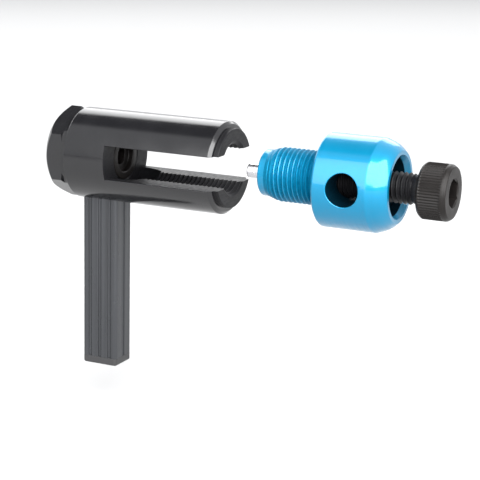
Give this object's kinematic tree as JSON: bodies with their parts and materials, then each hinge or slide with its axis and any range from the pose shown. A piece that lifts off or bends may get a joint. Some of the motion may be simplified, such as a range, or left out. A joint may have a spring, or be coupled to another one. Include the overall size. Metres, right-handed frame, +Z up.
{
  "type": "bicycle chain tool",
  "caption": "Chain tool with a slotted barrel on a square grooved handle, a screwed clamp knob and a socket-head drive screw with a push pin.",
  "frame": {"origin": "centre of the barrel's rear face, on the tool axis, where the chain pin leaves", "axes": "+X along the tool axis from the barrel's rear face to the drive screw, +Z up with the handle hanging down, +Y across the chain slot"},
  "size_m": [0.1083, 0.024, 0.0691],
  "materials": {
    "black_anodised": "polished black anodising",
    "grey_anodised": "satin dark grey anodising over an extruded surface",
    "blue_anodised": "bright sky-blue anodising over a turned surface",
    "black_oxide_steel": "oiled black oxide",
    "bright_steel": "ground steel",
    "bronze": "turned bronze",
    "black_plastic": "fine matt",
    "black_rubber": "smooth"
  },
  "bodies": {
    "body": {"barrel": "black_anodised", "anvil": "black_oxide_steel", "rear_plug": "black_oxide_steel", "handle_stud": "bright_steel", "handle_bar": "grey_anodised"},
    "end_cap": {"handle_end_cap": "black_plastic", "end_cap_o_ring": "black_rubber", "spare_push_pin": "bright_steel"},
    "bush": {"thrust_bush": "bronze"},
    "knob": {"clamp_knob": "blue_anodised", "thread_insert": "bright_steel", "bush_snap_ring": "bright_steel", "screw_washer": "black_oxide_steel"},
    "pin": {"push_pin": "bright_steel"},
    "screw": {"drive_screw": "black_oxide_steel", "thrust_ball": "bright_steel", "pin_retaining_ring": "black_oxide_steel"}
  },
  "joints": [
    {"name": "knob_travel", "type": "slide", "parent": "body", "child": "bush", "axis": [-1, 0, 0], "range_m": [0, 0.02575]},
    {"name": "knob_turn", "type": "hinge", "parent": "bush", "child": "knob", "pos_m": [0.0757, 0, 0], "axis": [-1, 0, 0], "range_deg": [0, 7416]},
    {"name": "screw_travel", "type": "slide", "parent": "knob", "child": "pin", "axis": [-1, 0, 0], "range_m": [0, 0.01162]},
    {"name": "screw_turn", "type": "hinge", "parent": "pin", "child": "screw", "pos_m": [0.1007, 0, 0], "axis": [-1, 0, 0], "range_deg": [0, 3348]},
    {"name": "end_cap_pull", "type": "slide", "parent": "body", "child": "end_cap", "axis": [0, 0, -1], "range_m": [0, 0.009]}
  ],
  "couplings": [
    {"joint": "knob_turn", "follows": "knob_travel", "rad_per_m": 5026.5},
    {"joint": "screw_turn", "follows": "screw_travel", "rad_per_m": 5026.5}
  ]
}
